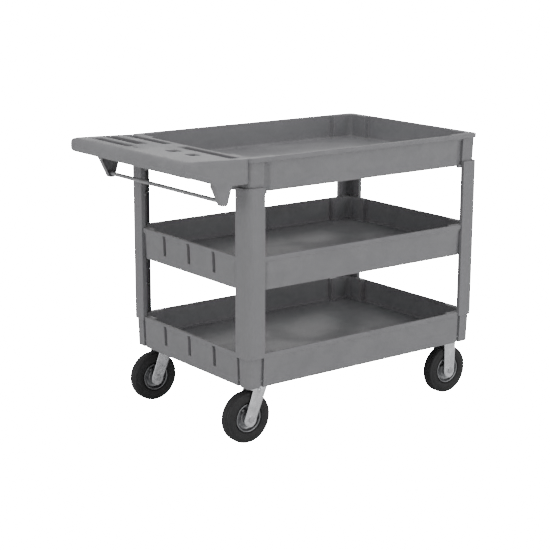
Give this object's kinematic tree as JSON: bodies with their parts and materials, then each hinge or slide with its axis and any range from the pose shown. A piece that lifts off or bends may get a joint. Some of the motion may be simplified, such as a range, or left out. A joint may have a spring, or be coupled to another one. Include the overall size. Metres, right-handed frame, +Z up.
{
  "type": "rolling utility cart",
  "caption": "Moulded utility cart with stacked deep trays on corner legs, a handle deck with tool troughs at one end, and swivel and rigid casters.",
  "frame": {"origin": "on the floor under the centre of the cart's bounding box", "axes": "+Z up; +X forward, away from the handle end; +Y to the left of someone pushing it"},
  "size_m": [1.128, 0.6192, 0.859],
  "materials": {
    "tray_plastic": "grey structural-foam moulding with a faint swirl and a fine grain",
    "leg_plastic": "grey structural-foam moulding, fine grain",
    "cap_plastic": "black moulded cap",
    "zinc_steel": "bright zinc-plated pressed steel",
    "wheel_steel": "dull zinc-plated pressed wheel disc",
    "fastener_steel": "zinc-plated fasteners",
    "tyre_rubber": "black rubber, matt, with fine rings round the sidewall"
  },
  "bodies": {
    "cart_frame": {"top_tray": "tray_plastic", "middle_shelf": "tray_plastic", "bottom_shelf": "tray_plastic", "brace_rod": "zinc_steel", "rod_cap_left": "cap_plastic", "rod_cap_right": "cap_plastic", "leg_rear_right": "leg_plastic", "leg_rear_left": "leg_plastic", "leg_front_right": "leg_plastic", "leg_front_left": "leg_plastic", "caster_plate_rear_right": "zinc_steel", "swivel_race_rear_right": "zinc_steel", "kingpin_rear_right": "fastener_steel", "caster_plate_rear_left": "zinc_steel", "swivel_race_rear_left": "zinc_steel", "kingpin_rear_left": "fastener_steel", "rigid_fork_front_right": "zinc_steel", "axle_front_right": "fastener_steel", "axle_nut_front_right": "fastener_steel", "rigid_fork_front_left": "zinc_steel", "axle_front_left": "fastener_steel", "axle_nut_front_left": "fastener_steel", "caster_bolt_rear_right_1": "fastener_steel", "caster_bolt_rear_right_2": "fastener_steel", "caster_bolt_rear_right_3": "fastener_steel", "caster_bolt_rear_right_4": "fastener_steel", "caster_bolt_rear_left_1": "fastener_steel", "caster_bolt_rear_left_2": "fastener_steel", "caster_bolt_rear_left_3": "fastener_steel", "caster_bolt_rear_left_4": "fastener_steel", "caster_bolt_front_right_1": "fastener_steel", "caster_bolt_front_right_2": "fastener_steel", "caster_bolt_front_right_3": "fastener_steel", "caster_bolt_front_right_4": "fastener_steel", "caster_bolt_front_left_1": "fastener_steel", "caster_bolt_front_left_2": "fastener_steel", "caster_bolt_front_left_3": "fastener_steel", "caster_bolt_front_left_4": "fastener_steel"},
    "swivel_rear_right": {"swivel_fork_rear_right": "zinc_steel", "axle_rear_right": "fastener_steel", "axle_nut_rear_right": "fastener_steel"},
    "swivel_rear_left": {"swivel_fork_rear_left": "zinc_steel", "axle_rear_left": "fastener_steel", "axle_nut_rear_left": "fastener_steel"},
    "wheel_rear_right": {"tyre_rear_right": "tyre_rubber", "wheel_rim_rear_right": "wheel_steel", "hub_bearing_rear_right": "fastener_steel"},
    "wheel_rear_left": {"tyre_rear_left": "tyre_rubber", "wheel_rim_rear_left": "wheel_steel", "hub_bearing_rear_left": "fastener_steel"},
    "wheel_front_right": {"tyre_front_right": "tyre_rubber", "wheel_rim_front_right": "wheel_steel", "hub_bearing_front_right": "fastener_steel"},
    "wheel_front_left": {"tyre_front_left": "tyre_rubber", "wheel_rim_front_left": "wheel_steel", "hub_bearing_front_left": "fastener_steel"}
  },
  "joints": [
    {"name": "swivel_rear_right", "type": "hinge", "parent": "cart_frame", "child": "swivel_rear_right", "pos_m": [-0.278, -0.25, 0.17], "axis": [0, 0, 1], "continuous": true},
    {"name": "swivel_rear_left", "type": "hinge", "parent": "cart_frame", "child": "swivel_rear_left", "pos_m": [-0.278, 0.25, 0.17], "axis": [0, 0, 1], "continuous": true},
    {"name": "spin_rear_right", "type": "hinge", "parent": "swivel_rear_right", "child": "wheel_rear_right", "pos_m": [-0.315, -0.25, 0.078], "axis": [0, 1, 0], "continuous": true},
    {"name": "spin_rear_left", "type": "hinge", "parent": "swivel_rear_left", "child": "wheel_rear_left", "pos_m": [-0.315, 0.25, 0.078], "axis": [0, 1, 0], "continuous": true},
    {"name": "spin_front_right", "type": "hinge", "parent": "cart_frame", "child": "wheel_front_right", "pos_m": [0.486, -0.25, 0.078], "axis": [0, 1, 0], "continuous": true},
    {"name": "spin_front_left", "type": "hinge", "parent": "cart_frame", "child": "wheel_front_left", "pos_m": [0.486, 0.25, 0.078], "axis": [0, 1, 0], "continuous": true}
  ]
}
